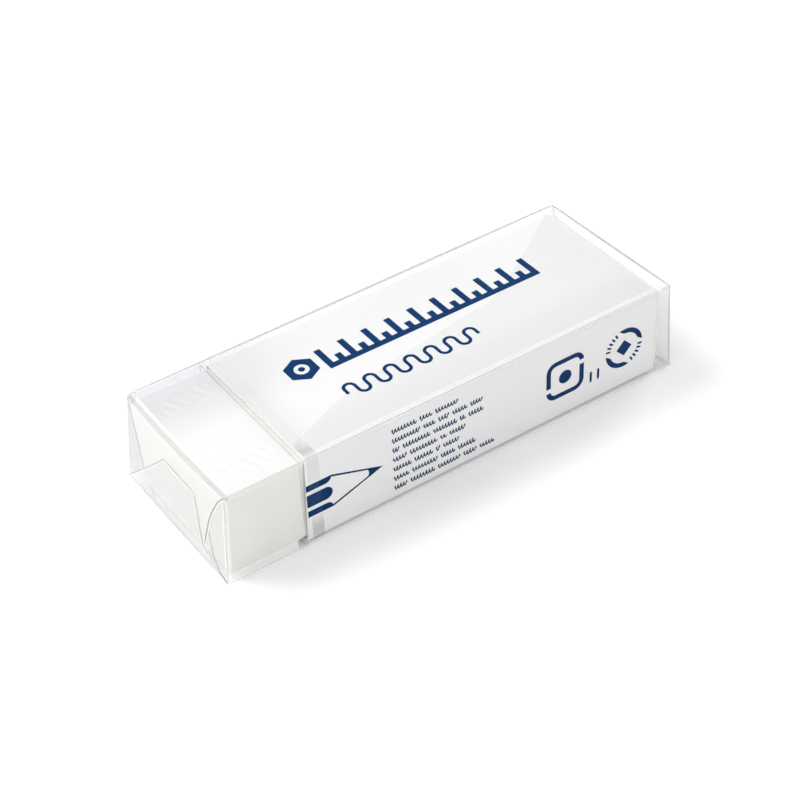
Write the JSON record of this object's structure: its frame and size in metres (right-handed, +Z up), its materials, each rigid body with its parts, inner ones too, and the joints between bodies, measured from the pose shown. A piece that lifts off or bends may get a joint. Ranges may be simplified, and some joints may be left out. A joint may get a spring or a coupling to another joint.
{
  "type": "rubber eraser in card sleeve and clear film",
  "caption": "White vinyl block eraser in a printed white card sleeve, overwrapped in clear film with folded, sealed ends and a tear tape.",
  "frame": {"origin": "middle of the film's bottom face, on the surface the pack stands on", "axes": "+X along the length from the bare end of the block to the covered end, -Y towards the printed long side, +Z up"},
  "size_m": [0.0676, 0.0244, 0.0134],
  "materials": {
    "eraser": "matt soft vinyl, off-white",
    "card": "white coated card, satin",
    "glue": "dry glue",
    "ink": "blue printing ink",
    "tape": "clear adhesive tear tape",
    "film": "clear polypropylene overwrap film, glossy"
  },
  "bodies": {
    "root": {"eraser_block": "eraser", "card_sleeve": "card", "lap_glue": "glue", "top_print": "ink", "front_print": "ink", "row_print": "ink", "tear_tape": "tape", "film_wrap": "film"}
  },
  "joints": []
}
